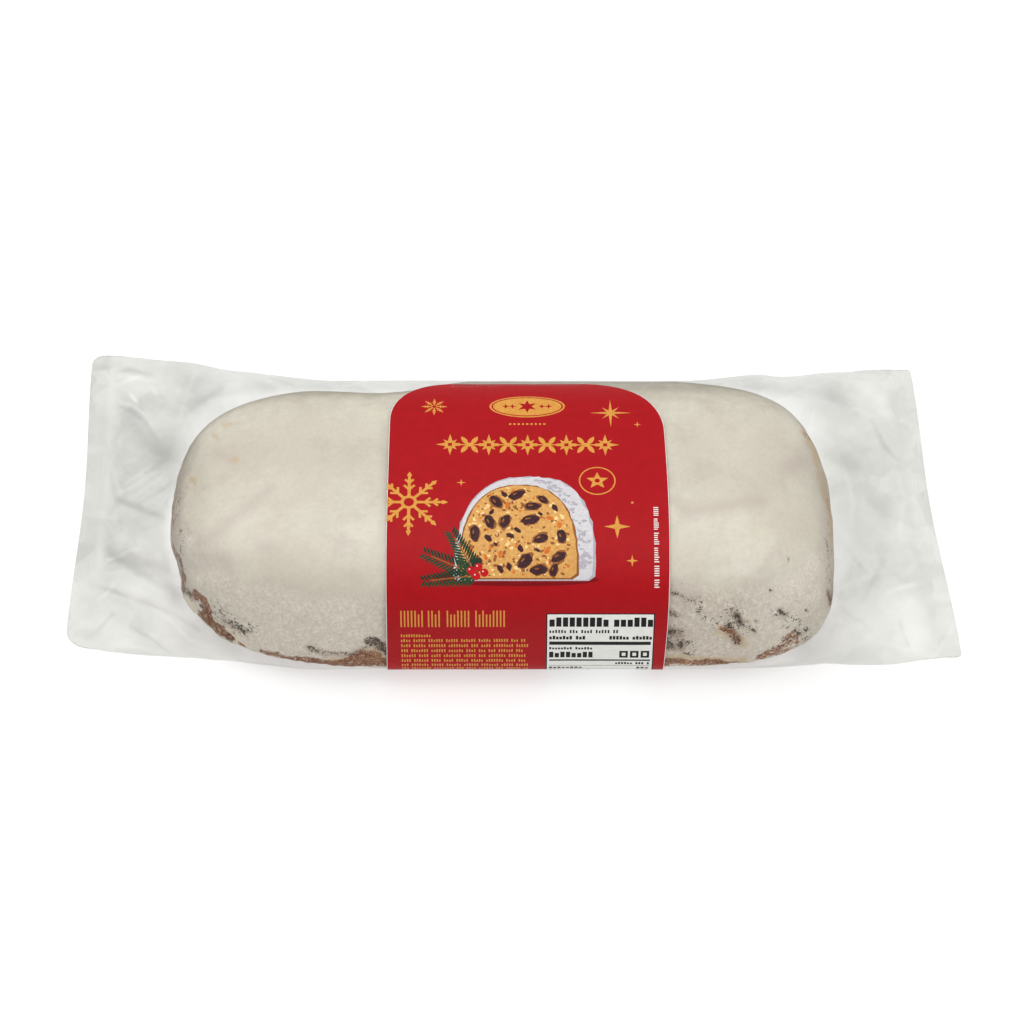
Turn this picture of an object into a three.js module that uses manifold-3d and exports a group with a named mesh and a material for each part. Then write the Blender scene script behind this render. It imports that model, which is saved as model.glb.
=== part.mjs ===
// A loaf of stollen sealed in a clear film bag, with a printed label wrapped round its middle.
// It lies on its flat base. Millimetres: X runs along the loaf, +Y to the back, +Z up, floor at 0.

import * as THREE from 'three';
import { mergeVertices } from 'three/addons/utils/BufferGeometryUtils.js';
import Module from 'manifold-3d';

const wasm = await Module();
wasm.setup();

// ---- Bag: the stretch that hugs the loaf
const BAG_HEIGHT = 64;          // film over the loaf's top
const BAG_HALF_BACK = 59.5;     // flank of the film behind the centre line
const BAG_HALF_FRONT = 59.3;    // flank of the film in front of it
const FLANK_HEIGHT = 21;        // where the section is widest
const TOP_SQUARENESS = 3.1;     // superellipse exponent of the section's upper half
const BASE_SQUARENESS = 3.8;    // and of its lower half
const BASE_CUT = 1;             // how much of the round underside the table presses flat

// ---- Bag: the two flaps that run out to the end seals
const HUG_END = 70;             // |X| where the back flank starts to flare
const TOP_END = 98;             // |X| where the top starts to fall
const BASE_END = 112;           // |X| where the underside leaves the table
const ROUND_START = 78;         // |X| where the section starts to turn from box to lens
const ROUND_END = 118;          // |X| where it is a lens
const SEAL_LENGTH = 6.5;
const SEAL_THICKNESS = 1;
const RIB_PITCH = 1.3;          // crimped ribs along each seal
const RIB_HEIGHT = 0.3;
const PLEAT_DEPTH = 1.7;        // soft pleats that fan out from the loaf's rounded corners
const PLEATS = 4;               // in the half circle round each of those corners
const PLEAT_ROOT_X = 92;        // |X| and |Y| of the four corners
const PLEAT_ROOT_Y = 36;

// Each end: its outer edge, the height of its seal, how far that edge is skewed and tilted, the
// seal's two half-widths, the radii of its two corners, and |X| where the front flank starts and
// stops flaring.
const LEFT_END = {
  side: -1, reach: 164.2, sealHeight: 43, skew: -0.018, tilt: -0.03,
  sealBack: 76, sealFront: 77.5, cornerBack: 5, cornerFront: 9, flareStart: 86, flareEnd: 150,
};
const RIGHT_END = {
  side: 1, reach: 162.6, sealHeight: 35.5, skew: -0.04, tilt: -0.058,
  sealBack: 77.5, sealFront: 77.5, cornerBack: 2, cornerFront: 2.5, flareStart: 78, flareEnd: 154,
};

// ---- Label: a wrap from the back shoulder over the front and under the base
const LABEL_LEFT = -46;
const LABEL_RIGHT = 57.5;
const LABEL_START = 42.5;       // arc length from the back flank to the label's top edge
const LABEL_END = 249;          // arc length to its lower edge, under the base
const LABEL_CORNER_LEFT = 25;
const LABEL_CORNER_RIGHT = 31;
const LABEL_BOW = 1.6;          // how far the right edge bows out over the loaf's front shoulder
const LABEL_BOW_LENGTH = 150;   // length of that bow from the top edge
const LABEL_THICKNESS = 0.5;
const LABEL_PROUD = 0.2;        // how far it stands out of the film
const LABEL_SINK = 0.3;         // how far it clears the table under the base
const GAP = 0.3;
const TOOL_REACH = 1.5;         // how far the cutter of the label's pocket stands out of the film

// ---- Mesh fineness
const RING_STEPS = 92;
const PROFILE_STEPS = 1440;
const FLAP_STATIONS = 17;
const MIDDLE_STATIONS = 4;
const LABEL_STEP = 3;
const CORNER_STEPS = 9;

const clamp01 = (t) => Math.min(Math.max(t, 0), 1);
const smooth = (t) => clamp01(t) ** 2 * (3 - 2 * clamp01(t));
const mix = (a, b, t) => a + (b - a) * t;
const ramp = (x, from, to) => clamp01((x - from) / (to - from));
const signedPower = (v, p) => Math.sign(v) * Math.abs(v) ** p;

// How far the back flank has flared, 0 where it hugs the loaf to 1 at the seal.
function flare(u) {
  const full = 1 - (1 - u) ** 1.3;
  return mix(full * smooth(u / 0.35), u, 0.35);
}

// How far a round corner draws an edge in at a depth from the corner's outer tangent.
function cornerInset(radius, depth) {
  const into = Math.max(radius - depth, 0);
  return radius - Math.sqrt(Math.max(radius ** 2 - into ** 2, 0));
}

// Half-thickness of the crimped seal, with ribs that run across the bag.
function sealHalf(end, distance) {
  const into = distance - (end.reach - SEAL_LENGTH);
  if (into <= 0) return SEAL_THICKNESS / 2;
  return SEAL_THICKNESS / 2 + RIB_HEIGHT * (0.5 - 0.5 * Math.cos((2 * Math.PI * into) / RIB_PITCH));
}

// Soft pleats of one sheet of a flap: they fan out from the loaf's corners and die at every edge.
function pleat(x, y, outward, across) {
  const fan = Math.atan2(Math.abs(x) - PLEAT_ROOT_X, Math.abs(y) - PLEAT_ROOT_Y);
  const fade = Math.sin(Math.PI * outward) * Math.sin(Math.PI * across);
  return PLEAT_DEPTH * Math.cos(2 * PLEATS * fan) * fade;
}

// Closed section of the bag at station x, anticlockwise seen from +X: back flank, top, front
// flank, base.
function section(x, end) {
  const distance = Math.abs(x);
  const sealStart = end.reach - SEAL_LENGTH;
  const u = ramp(distance, HUG_END, sealStart);
  const fall = ramp(distance, TOP_END, sealStart);
  const lift = ramp(distance, BASE_END, sealStart);
  const round = smooth(ramp(distance, ROUND_START, ROUND_END));
  const bulge = smooth(ramp(distance, end.flareStart, end.flareEnd));
  const depth = end.reach - distance;
  const back = mix(BAG_HALF_BACK, end.sealBack, flare(u)) - cornerInset(end.cornerBack, depth);
  const front = mix(BAG_HALF_FRONT, end.sealFront, bulge) - cornerInset(end.cornerFront, depth);
  const top = mix(BAG_HEIGHT, end.sealHeight, fall ** 1.4);
  const base = end.sealHeight * lift ** 1.15;
  const flank = mix(FLANK_HEIGHT, end.sealHeight, smooth(ramp(distance, HUG_END, sealStart)));
  const seal = sealHalf(end, distance);
  const up = Math.max(top - flank, seal);
  const down = Math.max(flank - base + BASE_CUT * (1 - round), seal);
  const points = [];
  for (let i = 0; i < PROFILE_STEPS; i += 1) {
    const angle = (2 * Math.PI * i) / PROFILE_STEPS;
    const upper = i <= PROFILE_STEPS / 2;
    const power = 2 / mix(upper ? TOP_SQUARENESS : BASE_SQUARENESS, 2, round);
    const across = signedPower(Math.cos(angle), power);
    const height = signedPower(Math.sin(angle), power);
    const y = across * (across > 0 ? back : front);
    let z = flank + height * (upper ? up : down);
    if (lift === 0) z = Math.max(z, 0);
    const spread = (i % (PROFILE_STEPS / 2)) / (PROFILE_STEPS / 2);
    const fold = upper ? pleat(x, y, fall, spread) : -pleat(x, y, lift, spread);
    const tilt = end.tilt * y * lift ** 2;
    points.push({ x: x + end.skew * y * u ** 2, y, z: z + tilt + fold });
  }
  return points;
}

// The point at arc length s of an open polyline.
function along(points, lengths, s) {
  let i = 1;
  while (i < points.length - 1 && lengths[i] < s) i += 1;
  const t = (s - lengths[i - 1]) / (lengths[i] - lengths[i - 1]);
  const a = points[i - 1];
  const b = points[i];
  return { x: mix(a.x, b.x, t), y: mix(a.y, b.y, t), z: mix(a.z, b.z, t) };
}

function arcLengths(points) {
  const lengths = [0];
  for (let i = 1; i < points.length; i += 1) {
    const a = points[i - 1];
    const b = points[i];
    lengths.push(lengths[i - 1] + Math.hypot(b.x - a.x, b.y - a.y, b.z - a.z));
  }
  return lengths;
}

// A section as evenly spaced ring points: half of them over the top, half under the base.
function ring(x, end) {
  const points = section(x, end);
  const half = PROFILE_STEPS / 2;
  const sheets = [points.slice(0, half + 1), [...points.slice(half), points[0]]];
  return sheets.flatMap((sheet) => {
    const lengths = arcLengths(sheet);
    const count = RING_STEPS / 2;
    const total = lengths[lengths.length - 1];
    return Array.from({ length: count }, (_, i) => along(sheet, lengths, (total * i) / count));
  });
}

// Stations of one end, from its outer edge to where the bag hugs the loaf.
function endStations(end) {
  const sealStart = end.reach - SEAL_LENGTH;
  const ribs = Math.round((2 * SEAL_LENGTH) / RIB_PITCH);
  const seal = Array.from({ length: ribs }, (_, i) => end.reach - (SEAL_LENGTH * i) / ribs);
  const flap = Array.from({ length: FLAP_STATIONS + 1 }, (_, i) => mix(sealStart, HUG_END, i / FLAP_STATIONS));
  return [...seal, ...flap].map((distance) => end.side * distance);
}

// A closed surface through a row of rings, with its two flat ends capped across.
function loft(rings) {
  const count = rings[0].length;
  const position = rings.flat().flatMap((p) => [p.x, p.y, p.z]);
  const index = [];
  for (let r = 0; r + 1 < rings.length; r += 1) {
    for (let i = 0; i < count; i += 1) {
      const a = r * count + i;
      const b = r * count + ((i + 1) % count);
      index.push(a, b, b + count, a, b + count, a + count);
    }
  }
  const last = (rings.length - 1) * count;
  const cap = (base, flip) => {
    const tri = (a, b, c) => index.push(base + a, base + (flip ? c : b), base + (flip ? b : c));
    for (let i = 0; i < count / 2; i += 1) {
      const a = i;
      const b = i + 1;
      const c = (count - i - 1) % count;
      const d = (count - i) % count;
      if (b !== c) tri(a, c, b);
      if (a !== d) tri(a, d, c);
    }
  };
  cap(0, false);
  cap(last, true);
  const geometry = new THREE.BufferGeometry();
  geometry.setAttribute('position', new THREE.Float32BufferAttribute(position, 3));
  geometry.setIndex(index);
  return geometry;
}

function bagGeometry() {
  const left = endStations(LEFT_END).map((x) => ring(x, LEFT_END));
  const right = endStations(RIGHT_END).map((x) => ring(x, RIGHT_END));
  const middle = Array.from({ length: MIDDLE_STATIONS }, (_, i) => {
    const x = mix(-HUG_END, HUG_END, (i + 1) / (MIDDLE_STATIONS + 1));
    return ring(x, LEFT_END);
  });
  return loft([...left, ...middle, ...right.reverse()]);
}

// The hugging section as an open line from the back flank, over the top and under the base.
const hugLine = section(0, LEFT_END);
const hugLengths = arcLengths(hugLine);

// A point at arc length s of that line, moved outwards by an offset.
function wrapPoint(s, x, offset) {
  const p = along(hugLine, hugLengths, s);
  const q = along(hugLine, hugLengths, s + 0.5);
  const o = along(hugLine, hugLengths, s - 0.5);
  const length = Math.hypot(q.y - o.y, q.z - o.z);
  const ny = (q.z - o.z) / length;
  const nz = -(q.y - o.y) / length;
  return { x, y: p.y + ny * offset, z: p.z + nz * offset };
}

// Rows of the label: arc length and the X of its two edges there.
function labelRows() {
  const length = LABEL_END - LABEL_START;
  const corner = Math.max(LABEL_CORNER_LEFT, LABEL_CORNER_RIGHT);
  const depths = [];
  for (let i = 0; i < CORNER_STEPS; i += 1) {
    depths.push(corner * (1 - Math.cos((Math.PI / 2) * (i / CORNER_STEPS))));
  }
  const straight = Math.ceil((length - 2 * corner) / LABEL_STEP);
  const ending = depths.map((depth) => length - depth).reverse();
  for (let i = 0; i <= straight; i += 1) depths.push(mix(corner, length - corner, i / straight));
  return [...depths, ...ending].map((depth) => {
    const fromEnd = Math.min(depth, length - depth);
    const bow = LABEL_BOW * Math.sin(Math.PI * clamp01(depth / LABEL_BOW_LENGTH));
    return {
      s: LABEL_START + depth,
      left: LABEL_LEFT + cornerInset(LABEL_CORNER_LEFT, fromEnd),
      right: LABEL_RIGHT + bow - cornerInset(LABEL_CORNER_RIGHT, fromEnd),
    };
  });
}

// A curved slab over the label's outline, grown by a margin, between two offsets from the film.
function wrapSlab(margin, outer, inner) {
  const middle = (LABEL_START + LABEL_END) / 2;
  const stretch = 1 + (2 * margin) / (LABEL_END - LABEL_START);
  const rings = labelRows().map((row) => {
    const s = middle + (row.s - middle) * stretch;
    const left = row.left - margin;
    const right = row.right + margin;
    const nearBase = 1 - smooth(ramp(wrapPoint(s, 0, 0).z, 0, 6));
    const sink = (LABEL_PROUD + LABEL_SINK) * nearBase;
    const high = outer - (margin > 0 ? 0 : sink);
    const low = inner - sink;
    return [
      wrapPoint(s, left, high),
      wrapPoint(s, left, low),
      wrapPoint(s, right, low),
      wrapPoint(s, right, high),
    ];
  });
  return loft(rings);
}

function toSolid(geometry) {
  const bare = geometry.clone();
  bare.deleteAttribute('normal');
  const merged = mergeVertices(bare, 1e-5);
  const vertProperties = new Float32Array(merged.attributes.position.array);
  const triVerts = new Uint32Array(merged.index.array);
  return new wasm.Manifold(new wasm.Mesh({ numProp: 3, vertProperties, triVerts }));
}

function toGeometry(solid) {
  const mesh = solid.getMesh();
  const geometry = new THREE.BufferGeometry();
  geometry.setAttribute('position', new THREE.Float32BufferAttribute(mesh.vertProperties, 3));
  geometry.setIndex(new THREE.Uint32BufferAttribute(mesh.triVerts, 1));
  geometry.computeVertexNormals();
  return geometry;
}

const pocket = wrapSlab(GAP, TOOL_REACH, LABEL_PROUD - LABEL_THICKNESS - GAP);
const bag = toSolid(bagGeometry()).subtract(toSolid(pocket));
const label = toSolid(wrapSlab(0, LABEL_PROUD, LABEL_PROUD - LABEL_THICKNESS));

const filmMaterial = new THREE.MeshStandardMaterial({
  color: 0xdcd8cc, roughness: 0.35, metalness: 0, transparent: true, opacity: 0.9,
});
const labelMaterial = new THREE.MeshStandardMaterial({ color: 0xae2126, roughness: 0.5, metalness: 0 });

const stollen = new THREE.Group();
const bagMesh = new THREE.Mesh(toGeometry(bag), filmMaterial);
bagMesh.name = 'bag';
const labelMesh = new THREE.Mesh(toGeometry(label), labelMaterial);
labelMesh.name = 'label';
stollen.add(bagMesh, labelMesh);

export default stollen;
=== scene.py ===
"""A sugar-coated stollen in a clear sealed bag with a printed label wrapped round its middle."""

import math

import bpy
import numpy as np
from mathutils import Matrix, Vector
from mathutils.bvhtree import BVHTree
from mathutils.geometry import delaunay_2d_cdt


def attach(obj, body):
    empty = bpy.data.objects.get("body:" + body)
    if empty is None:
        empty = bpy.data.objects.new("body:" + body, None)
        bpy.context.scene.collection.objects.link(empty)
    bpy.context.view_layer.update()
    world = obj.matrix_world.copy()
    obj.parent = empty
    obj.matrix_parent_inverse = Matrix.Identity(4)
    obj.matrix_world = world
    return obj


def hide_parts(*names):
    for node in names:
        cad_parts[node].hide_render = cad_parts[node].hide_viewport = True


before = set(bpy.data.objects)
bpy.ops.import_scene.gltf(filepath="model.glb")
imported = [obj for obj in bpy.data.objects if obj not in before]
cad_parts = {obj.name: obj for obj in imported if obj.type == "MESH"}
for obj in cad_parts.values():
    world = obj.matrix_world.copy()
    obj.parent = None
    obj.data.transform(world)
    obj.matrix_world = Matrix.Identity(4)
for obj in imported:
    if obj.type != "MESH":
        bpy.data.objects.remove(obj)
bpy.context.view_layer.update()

MM = 0.001  # lengths are in millimetres until a mesh is made

# ---- camera

ELEVATION = math.radians(48.5)
DISTANCE, AIM = 1300.0, np.array([0.6, 2.64, 30.0])
PIXELS_PER_MM, FRAME_PX, SENSOR = 2.6, 1024, 36.0
UP = np.array([0.0, math.sin(ELEVATION), math.cos(ELEVATION)])
FORWARD = np.array([0.0, math.cos(ELEVATION), -math.sin(ELEVATION)])


def frame_px(points):
    """Where points land in the picture frame, as pixel columns and rows."""
    p = points - AIM
    scale = PIXELS_PER_MM * DISTANCE / (DISTANCE + p @ FORWARD)
    return np.stack([FRAME_PX / 2 + scale * p[:, 0], FRAME_PX / 2 - scale * (p @ UP)], -1)


def make_camera():
    """Level camera that looks down at the long side, as in the photograph."""
    data = bpy.data.cameras.new("camera")
    data.sensor_width = SENSOR
    data.lens = SENSOR * PIXELS_PER_MM * DISTANCE / FRAME_PX
    camera = bpy.data.objects.new("camera", data)
    camera.location = Vector((AIM - DISTANCE * FORWARD) * MM)
    camera.rotation_euler = (math.pi / 2 - ELEVATION, 0, 0)
    bpy.context.collection.objects.link(camera)
    bpy.context.scene.camera = camera


# ---- small maths

HASH_PRIMES = np.array([73856093, 19349663, 83492791])
HASH_SEED, HASH_MIX, HASH_BITS = 2654435761, 1274126177, 0xFFFFFFFF


def clamp01(t):
    return np.clip(t, 0.0, 1.0)


def smooth(t):
    t = clamp01(t)
    return t * t * (3 - 2 * t)


def ramp(x, a, b):
    return clamp01((x - a) / (b - a))


def ease(x, a, b):
    """A soft step from 0 at a to 1 at b, where b may be the smaller one."""
    return smooth(ramp(x, a, b))


def mix(a, b, t):
    return a + (b - a) * t


def signed_power(v, p):
    return np.sign(v) * np.abs(v) ** p


def noise(points, size, seed):
    """Smooth value noise from -1 to 1, with cells of the given size."""
    q = np.asarray(points, float) / size + 100.0
    cell = np.floor(q).astype(np.int64)
    f = q - cell
    f = f * f * f * (f * (6 * f - 15) + 10)
    total = 0.0
    for corner in np.ndindex(2, 2, 2):
        h = np.bitwise_xor.reduce((cell + corner) * HASH_PRIMES, axis=1)
        h = (h ^ (seed * HASH_SEED)) & HASH_BITS
        h = (h ^ (h >> 13)) * HASH_MIX & HASH_BITS
        value = ((h ^ (h >> 16)) & 0xFFFF) / 32767.5 - 1
        total = total + value * np.prod(np.where(corner, f, 1 - f), axis=1)
    return total


def cloudy(points, size, octaves, seed):
    return sum(noise(points, size / 2**i, seed + i) * 0.5**i for i in range(octaves))


def to_line(px, points):
    """Distance from each pixel position to a polyline, and how far along it that spot is."""
    best = np.full(len(px), 1e9)
    where = np.zeros(len(px))
    for i in range(len(points) - 1):
        a, b = np.array(points[i], float), np.array(points[i + 1], float)
        t = clamp01(((px - a) @ (b - a)) / ((b - a) @ (b - a)))
        d = np.linalg.norm(px - a - t[:, None] * (b - a), axis=1)
        near = d < best
        best = np.where(near, d, best)
        where = np.where(near, (i + t) / (len(points) - 1), where)
    return best, where


# ---- the bag's surface

# Distances from the bag's middle along its length.
HUG_END, HUG_FADE, LOOSE_START, LOOSE_FULL = 70.0, 92.0, 84.0, 104.0
TOP_END, BASE_END, ROUND_START, ROUND_END = 98.0, 112.0, 78.0, 118.0
BAG_HEIGHT, BAG_HALF_BACK, BAG_HALF_FRONT, FLANK, BASE_CUT = 64.0, 59.5, 59.3, 21.0, 1.0
# Exponents: of the section above and below its flank, and of the width, top and base on their
# way to the seal. The rear edge widens softly over a first share and evenly by another.
TOP_SQUARE, BASE_SQUARE, WIDTH_RUN, TOP_RUN, BASE_RUN = 3.1, 3.8, 1.3, 1.4, 1.15
FLARE_SOFT, FLARE_EVEN = 0.35, 0.35
SEAL_LENGTH, SEAL_THICKNESS, RIB_PITCH, RIB_HEIGHT = 6.5, 0.5, 1.3, 0.1
# The seals are drawn in at their middle, and the rear left edge swells between two ramps.
SEAL_WAIST, WAIST_HALF = 1.8, 70.0
REAR_SWELL, SWELL_RISE, SWELL_FALL = 2.6, (94.0, 112.0), (144.0, 120.0)
PLEAT_DEPTH, PLEATS, PLEAT_ROOT = 1.0, 4, (92.0, 36.0)
# Each end: seal reach and height, skew and tilt of its edge, half-widths behind and in front,
# radii of the two corners, and where the front flank starts and stops flaring.
ENDS = {
    -1: {
        "reach": 164.2, "height": 43.0, "skew": -0.018, "tilt": -0.03,
        "half": (76.0, 77.5), "corner": (5.0, 9.0), "flare": (86.0, 150.0),
    },
    1: {
        "reach": 162.6, "height": 35.5, "skew": -0.04, "tilt": -0.058,
        "half": (77.5, 77.5), "corner": (2.0, 2.5), "flare": (78.0, 154.0),
    },
}


def corner_inset(radius, depth):
    """How far a round corner draws an edge in at a depth from the corner's outer tangent."""
    return radius - np.sqrt(np.maximum(radius**2 - np.maximum(radius - depth, 0) ** 2, 0))


def pleat(x, y, outward, across):
    """Height of the pleats that fan out from the loaf's corners, none at the flap's borders."""
    fan = np.arctan2(abs(x) - PLEAT_ROOT[0], np.abs(y) - PLEAT_ROOT[1])
    fade = np.sin(np.pi * outward) * np.sin(np.pi * across)
    return PLEAT_DEPTH * np.cos(2 * PLEATS * fan) * fade


def squarish(steps, powers, widths, heights):
    """A closed curve from its back over its top, and which points are on its upper half.

    It has an exponent and a height above and below, and a half-width behind and in front.
    """
    angle = 2 * np.pi * np.arange(steps) / steps
    upper = np.arange(steps) <= steps / 2
    power = 2 / np.where(upper, *powers)
    across, rise = signed_power(np.cos(angle), power), signed_power(np.sin(angle), power)
    return across * np.where(across > 0, *widths), rise * np.where(upper, *heights), upper


def bag_section(x, steps=1440):
    """Closed section of the bag at one station: back flank, top, front flank, base."""
    end = ENDS[1 if x > 0 else -1]
    far = abs(x)
    seal_start = end["reach"] - SEAL_LENGTH
    u = ramp(far, HUG_END, seal_start)
    fall, lift = ramp(far, TOP_END, seal_start), ramp(far, BASE_END, seal_start)
    lens = ease(far, ROUND_START, ROUND_END)
    depth = end["reach"] - far
    flare = mix((1 - (1 - u) ** WIDTH_RUN) * smooth(u / FLARE_SOFT), u, FLARE_EVEN)
    bulge = ease(far, *end["flare"])
    back = mix(BAG_HALF_BACK, end["half"][0], flare) - corner_inset(end["corner"][0], depth)
    front = mix(BAG_HALF_FRONT, end["half"][1], bulge) - corner_inset(end["corner"][1], depth)
    back += REAR_SWELL * ease(-x, *SWELL_RISE) * ease(-x, *SWELL_FALL)
    top = mix(BAG_HEIGHT, end["height"], fall**TOP_RUN)
    base = end["height"] * lift**BASE_RUN
    flank = mix(FLANK, end["height"], smooth(u))
    rib = max(far - seal_start, 0)
    half = SEAL_THICKNESS / 2 + RIB_HEIGHT * (0.5 - 0.5 * math.cos(2 * math.pi * rib / RIB_PITCH))
    up = max(top - flank, half)
    down = max(flank - base + BASE_CUT * (1 - lens), half)
    powers = mix(TOP_SQUARE, 2.0, lens), mix(BASE_SQUARE, 2.0, lens)
    y, rise, upper = squarish(steps, powers, (back, front), (up, down))
    z = flank + rise
    if lift == 0:
        z = np.maximum(z, 0)
    spread = (np.arange(steps) % (steps / 2)) / (steps / 2)
    fold = np.where(upper, pleat(x, y, fall, spread), -pleat(x, y, lift, spread))
    waist = SEAL_WAIST * (1 - smooth(np.abs(y) / WAIST_HALF)) * lift**2
    x = x + end["skew"] * y * u**2 - math.copysign(1, x) * waist
    return np.stack([x, y, z + end["tilt"] * y * lift**2 + fold], -1)


def arc(points):
    return np.r_[0, np.cumsum(np.linalg.norm(np.diff(points, axis=0), axis=1))]


def resample(points, count):
    lengths = arc(points)
    at = np.linspace(0, lengths[-1], count + 1)[:-1]
    return np.stack([np.interp(at, lengths, points[:, k]) for k in range(3)], -1)


def even_ring(section, count, above):
    """A closed section as a ring of even steps, with this many of them over its top."""
    half = len(section) // 2
    under = np.vstack([section[half:], section[:1]])
    return np.vstack([resample(section[: half + 1], above), resample(under, count - above)])


def grid_normals(grid):
    """Outward normals of rings that run anticlockwise seen from +X, stacked towards +X."""
    along = np.gradient(grid, axis=0)
    around = np.roll(grid, -1, 1) - np.roll(grid, 1, 1)
    n = np.cross(around, along)
    return n / np.maximum(np.linalg.norm(n, axis=2, keepdims=True), 1e-9)


# Folds of the flaps' upper sheets as polylines in the picture frame:
# points, height in mm, half-width in pixels, and the painted highlight along them, negative for
# painted shade.
FOLDS = [
    ([(112, 386), (130, 403)], -1.0, 10, -0.7),
    ([(116, 405), (130, 409), (142, 418), (150, 430), (157, 441)], -0.8, 3.2, -0.6),
    ([(119, 401), (134, 406), (147, 417), (155, 430)], 0.7, 1.8, 0.6),
    ([(131, 418), (152, 447), (166, 453)], -0.8, 6, -0.6), ([(150, 452), (180, 446)], -1.3, 16, -1.3),
    ([(116, 495), (135, 486), (160, 468), (172, 457)], 0.6, 1.8, 0.5),
    ([(118, 499), (140, 508), (163, 517)], -1.0, 3.4, -0.9),
    ([(122, 496), (104, 520), (98, 540)], -0.6, 3.0, -0.4),
    ([(122, 496), (112, 470), (108, 440)], 0.5, 2.6, 0.4),
    ([(91, 543), (132, 560), (160, 570), (178, 583)], -1.3, 8, -0.6),
    ([(108, 552), (140, 572), (172, 590)], -0.7, 5, -0.7),
    ([(78, 566), (95, 590), (110, 610)], 0.7, 2.2, 0.5),
    ([(82, 570), (98, 594), (112, 613)], -0.7, 2.0, -0.6),
    ([(92, 584), (120, 593), (148, 603), (176, 616), (198, 630)], -0.9, 2.4, -0.8),
    ([(98, 612), (120, 628), (146, 640)], 0.5, 13, 0.3),
    ([(130, 625), (150, 638), (170, 653)], -0.6, 1.8, -0.8),
    ([(86, 640), (100, 628), (114, 613)], -0.6, 1.8, -0.6),
    ([(106, 372), (130, 369), (152, 374)], -0.5, 2.0, -0.6),
    ([(104, 378), (130, 377), (160, 382)], 0.5, 2.0, 0.5),
    ([(182, 384), (200, 396), (214, 404)], -0.4, 5, -0.3), ([(828, 388), (842, 400)], -0.6, 9, -0.6),
    ([(838, 452), (858, 472)], -0.7, 11, -0.7), ([(868, 492), (888, 514)], -0.6, 10, -0.6),
    ([(846, 590), (862, 580), (876, 590)], -1.2, 12, -0.3),
    ([(862, 602), (874, 580), (884, 560)], -0.6, 2.4, -0.6),
    ([(888, 593), (904, 587), (924, 584)], 0.6, 1.8, 0.8), ([(919, 587), (945, 591)], -0.6, 2.0, -0.8),
    ([(918, 552), (936, 554)], -0.5, 6, -0.5), ([(837, 539), (854, 557), (868, 575)], -0.5, 1.8, -0.6),
    ([(837, 590), (852, 583), (868, 576)], 0.5, 1.8, 0.6),
    ([(840, 622), (890, 634), (940, 640)], 0.4, 22, 1.0),
    ([(899, 620), (905, 637), (911, 652)], -0.5, 2.0, -0.6),
    # Folds of zero height are painted shade and highlight only.
    ([(850, 380), (880, 400), (905, 440)], 0.5, 5, 0.4), ([(896, 505), (912, 545)], 0.0, 16, 0.4),
    ([(172, 588), (182, 604)], 0.0, 9, -1.6), ([(182, 632), (198, 646)], 0.0, 14, -0.8),
    ([(186, 380), (214, 388)], 0.0, 12, -0.9), ([(840, 396), (862, 404)], 0.0, 16, -0.5),
    ([(106, 384), (108, 470), (98, 560)], 0.0, 12, -0.55), ([(892, 604), (946, 606)], 0.0, 12, 0.5),
    # The first three folds below are painted glints.
    ([(112, 356), (116, 360)], 0.3, 2.0, 1.2), ([(131, 394), (137, 402)], 0.4, 1.6, 1.2),
    ([(152, 388), (156, 394)], 0.3, 1.6, 1.1), ([(124, 486), (148, 466), (164, 452)], 0.3, 1.4, 0.4),
    ([(130, 500), (156, 480), (176, 462)], 0.3, 1.4, 0.4),
    ([(138, 504), (160, 490), (172, 480)], -0.4, 1.4, -0.6),
    ([(104, 392), (118, 384), (142, 376)], 0.4, 1.6, 0.6),
    ([(190, 410), (204, 398), (222, 388)], -0.4, 2.2, -0.6),
    ([(196, 372), (186, 396), (180, 420)], 0.4, 2.2, 0.5),
    ([(108, 560), (124, 552), (140, 548)], 0.4, 1.6, 0.7),
    ([(90, 604), (104, 596), (114, 584)], 0.4, 1.6, 0.6),
    ([(150, 606), (172, 622), (190, 640)], 0.5, 2.0, 0.7),
    ([(110, 648), (130, 646), (160, 652)], 0.4, 1.8, 0.6),
    ([(846, 470), (852, 500), (850, 528)], 0.4, 2.0, 0.5),
    ([(872, 420), (884, 446), (900, 462)], -0.4, 2.4, -0.5),
    ([(896, 470), (904, 500), (900, 530)], 0.4, 2.0, 0.5),
    ([(842, 610), (862, 622), (880, 640)], -0.4, 1.8, -0.5),
    ([(912, 560), (926, 580), (938, 610)], 0.4, 2.0, 0.6),
    ([(866, 640), (888, 646), (912, 650)], 0.4, 1.8, 0.5),
]


# Crumpled facets: heights, stretch along the bag, and how strong the veil's tone, with its painted
# crease shade, is on the right flap.
CRUMPLE, FINE_CRUMPLE, DRAWN_OUT, RIGHT_CALM = 1.2, 0.08, np.array([0.45, 1.0, 1.0]), 0.55


def ripple(points):
    """Slow unevenness shared by the film and the label where they hug the loaf."""
    return 0.22 * noise(points, 34.0, 5) + 0.07 * noise(points, 11.0, 6)


def bag_grid(count=300):
    """Rings of the smooth bag from end to end, and the station of each."""
    ends = []
    for side in (-1, 1):
        reach = ENDS[side]["reach"]
        seal = np.linspace(reach, reach - SEAL_LENGTH, 31)[:-1]
        flap = np.linspace(reach - SEAL_LENGTH, HUG_END, 90)
        ends.append(side * np.concatenate([seal, flap]))
    middle = np.linspace(-HUG_END, HUG_END, 60)[1:-1]
    xs = np.concatenate([ends[0], middle, ends[1][::-1]])
    return xs, np.array([even_ring(bag_section(x), count, count // 2) for x in xs])


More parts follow.
